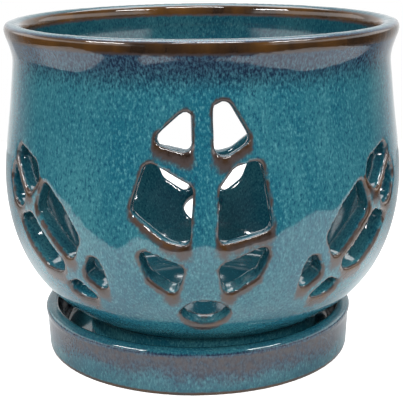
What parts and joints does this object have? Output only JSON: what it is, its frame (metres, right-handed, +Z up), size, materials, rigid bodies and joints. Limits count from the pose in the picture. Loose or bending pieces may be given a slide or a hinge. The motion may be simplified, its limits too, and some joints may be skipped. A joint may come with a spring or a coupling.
{
  "type": "orchid pot with slots",
  "caption": "Round glazed stoneware orchid pot with leaf-shaped groups of slots cut through its wall, standing in its own loose low saucer.",
  "frame": {"origin": "on the table under the pot's axis", "axes": "+Z up along the pot's axis; the upright slot group that the picture shows faces -Y; +X to its right"},
  "size_m": [0.158, 0.158, 0.1327],
  "materials": {
    "pot_glaze": "gloss",
    "saucer_glaze": "gloss"
  },
  "bodies": {
    "saucer": {"saucer": "saucer_glaze"},
    "pot": {"pot": "pot_glaze"}
  },
  "joints": [
    {"name": "pot_lift", "type": "slide", "parent": "saucer", "child": "pot", "axis": [0, 0, 1], "range_m": [0, 0.06]}
  ]
}
